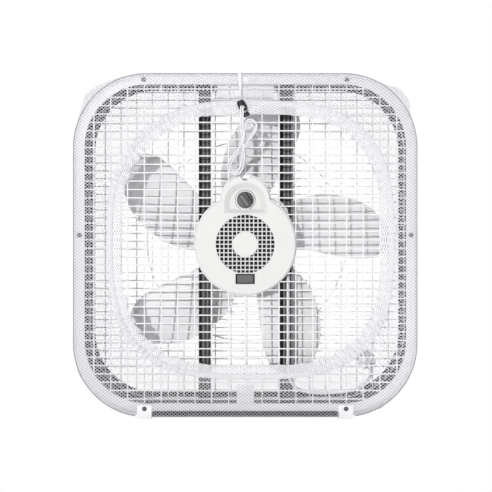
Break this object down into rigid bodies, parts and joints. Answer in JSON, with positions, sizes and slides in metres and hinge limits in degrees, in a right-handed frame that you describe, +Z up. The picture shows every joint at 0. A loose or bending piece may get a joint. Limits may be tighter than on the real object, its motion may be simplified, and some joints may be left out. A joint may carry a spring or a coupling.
{
  "type": "box fan",
  "caption": "Rounded-square box fan with front and rear grilles, five-blade impeller, hub knob and feet, in a gathered net cover bag.",
  "frame": {"origin": "on the floor, under the middle of the width and of the depth from the knob to the back of the net", "axes": "+Z up, the front with the knob faces -Y, +X to the right as seen from the front"},
  "size_m": [0.5328, 0.1509, 0.5387],
  "materials": {
    "white_enamel": "semi-gloss powder coat, faint orange peel",
    "white_plastic": "satin moulded plastic",
    "impeller_plastic": "satin moulded plastic",
    "grey_plastic": "fine-textured matte plastic",
    "knob_grey": "satin plastic with fine turning marks",
    "badge_grey": "satin plate in a black frame, blank",
    "black_plastic": "satin",
    "dark_steel": "dark galvanised and painted channel",
    "zinc_steel": "bright zinc",
    "lamination_steel": "stacked laminations",
    "copper_wire": "enamelled copper",
    "bearing_bronze": "sintered bronze",
    "lead_pvc": "white pvc sheath",
    "net_cloth": "diamond mesh net, see-through",
    "net_hem": "gathered double net",
    "seam_tape": "woven binding tape",
    "white_cord": "braided cord"
  },
  "bodies": {
    "root": {"housing_band": "white_enamel", "front_grille": "white_plastic", "rear_grille": "white_plastic", "hub_cover": "grey_plastic", "badge_plate": "badge_grey", "speed_switch": "black_plastic", "left_motor_strut": "dark_steel", "right_motor_strut": "dark_steel", "motor_mount_plate": "dark_steel", "motor_screw_1": "zinc_steel", "motor_screw_2": "zinc_steel", "motor_front_shell": "zinc_steel", "motor_rear_shell": "zinc_steel", "stator_core": "lamination_steel", "stator_winding": "copper_wire", "front_bearing": "bearing_bronze", "rear_bearing": "bearing_bronze", "run_capacitor": "black_plastic", "handle_tray": "white_plastic", "handle_grip": "white_plastic", "left_foot": "white_plastic", "right_foot": "white_plastic", "grille_clip": "white_enamel", "front_screw_1": "zinc_steel", "front_screw_2": "zinc_steel", "front_screw_3": "zinc_steel", "front_screw_4": "zinc_steel", "front_screw_5": "zinc_steel", "front_screw_6": "zinc_steel", "rear_screw_1": "zinc_steel", "rear_screw_2": "zinc_steel", "rear_screw_3": "zinc_steel", "rear_screw_4": "zinc_steel", "rear_screw_5": "zinc_steel", "rear_screw_6": "zinc_steel", "cord_gland": "white_plastic", "supply_lead": "lead_pvc", "net_side_band": "net_cloth", "net_under_strip": "net_cloth", "net_back_panel": "net_cloth", "net_front_flap": "net_cloth", "net_hem_casing": "net_hem", "net_hem_frill": "net_hem", "net_seam_tape": "seam_tape", "drawstring_ring": "white_cord", "drawstring_hank": "white_cord", "drawstring_tail_left": "white_cord", "drawstring_tail_right": "white_cord", "cord_lock_body": "black_plastic", "cord_lock_spring": "zinc_steel"},
    "rotor": {"rotor_shaft": "zinc_steel", "rotor_core": "lamination_steel", "impeller": "impeller_plastic", "impeller_clip": "zinc_steel"},
    "knob": {"speed_knob": "knob_grey", "switch_shaft": "zinc_steel"},
    "lock_button": {"cord_lock_button": "black_plastic"}
  },
  "joints": [
    {"name": "fan_spin", "type": "hinge", "parent": "root", "child": "rotor", "pos_m": [0, 0.01555, 0.271], "axis": [0, 1, 0], "continuous": true},
    {"name": "knob_turn", "type": "hinge", "parent": "root", "child": "knob", "pos_m": [0, -0.0623, 0.3394], "axis": [0, 1, 0], "range_deg": [0, 135]},
    {"name": "lock_press", "type": "slide", "parent": "root", "child": "lock_button", "axis": [-0.4004, 0, 0.9164], "range_m": [0, 0.004], "stiffness_N_per_m": 600, "deforming": ["cord_lock_spring"]}
  ]
}
